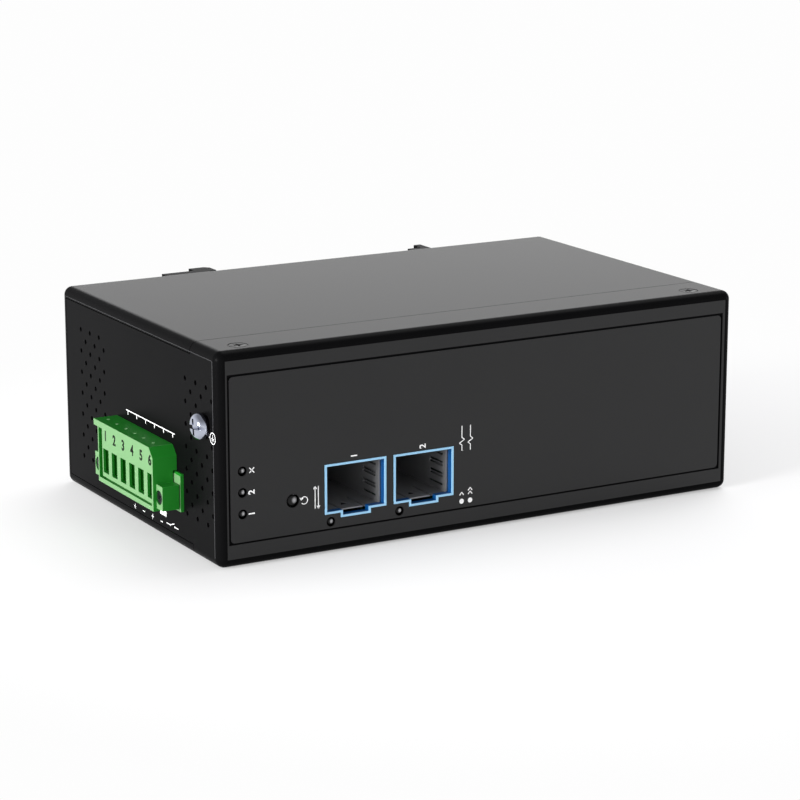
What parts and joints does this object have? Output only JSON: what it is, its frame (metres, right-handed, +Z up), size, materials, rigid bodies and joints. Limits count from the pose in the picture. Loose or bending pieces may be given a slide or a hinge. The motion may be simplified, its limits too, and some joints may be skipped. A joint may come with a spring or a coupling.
{
  "type": "fibre media converter",
  "caption": "Rail-mounted metal box with pluggable optical ports, a green terminal plug, status lights, a reset button and an earth screw, lying on its large side.",
  "frame": {"origin": "centre of the large side that the converter lies on, at the housing (rail clip and plug left out)", "axes": "+X from the terminal end to the far end, +Y from the port panel to the rail clip, +Z up, away from the resting side"},
  "size_m": [0.1462, 0.0956, 0.05],
  "materials": {
    "case_paint": "matt dark powder coat",
    "overlay_film": "matt printed polyester film",
    "black_screws": "black oxide",
    "port_blue": "smooth blue moulding",
    "cage_steel": "plated spring sheet",
    "connector_black": "moulded",
    "contact_metal": "gold flashed",
    "lens_plastic": "smoked lens",
    "switch_black": "moulded",
    "terminal_green": "moulded polyamide",
    "pin_metal": "tinned",
    "plated_steel": "bright nickel plate",
    "board_green": "solder mask",
    "post_steel": "plated",
    "sink_aluminium": "anodised",
    "chip_black": "moulded",
    "relay_case": "moulded",
    "coil_ferrite": "pressed ferrite",
    "can_sleeve": "can",
    "core_ferrite": "ferrite and tape",
    "clip_black": "black coat",
    "spring_steel": "drawn wire"
  },
  "bodies": {
    "housing": {"front_chassis": "case_paint", "rear_cover": "case_paint", "front_overlay": "overlay_film", "cover_screws": "black_screws", "port_frame_1": "port_blue", "port_frame_2": "port_blue", "sfp_cage_1": "cage_steel", "sfp_cage_2": "cage_steel", "cage_fingers": "cage_steel", "port_connector_1": "connector_black", "port_connector_2": "connector_black", "port_contacts": "contact_metal", "status_lights": "lens_plastic", "status_holder": "switch_black", "port_lights": "lens_plastic", "reset_switch": "switch_black", "terminal_header": "terminal_green", "header_pins": "pin_metal", "terminal_plug": "terminal_green", "plug_contacts": "contact_metal", "flange_screws": "black_screws", "earth_screw": "plated_steel", "earth_washer": "plated_steel", "earth_nut": "post_steel", "main_board": "board_green", "board_posts": "post_steel", "board_screws": "post_steel", "switch_chip": "chip_black", "heat_sink": "sink_aluminium", "alarm_relay": "relay_case", "power_coils": "coil_ferrite", "capacitors": "can_sleeve", "transformer": "core_ferrite", "board_chips": "chip_black", "rail_clip": "clip_black", "latch_spring": "spring_steel", "clip_screws": "black_screws"},
    "reset_button": {"reset_button": "switch_black"},
    "rail_latch": {"rail_latch": "clip_black"}
  },
  "joints": [
    {"name": "reset_press", "type": "slide", "parent": "housing", "child": "reset_button", "axis": [0, 1, 0], "range_m": [0, 0.0004], "stiffness_N_per_m": 1500, "springref_m": -0.0004},
    {"name": "latch_slide", "type": "slide", "parent": "housing", "child": "rail_latch", "axis": [1, 0, 0], "range_m": [0, 0.0045], "stiffness_N_per_m": 2500, "springref_m": -0.003, "deforming": ["latch_spring"]}
  ]
}
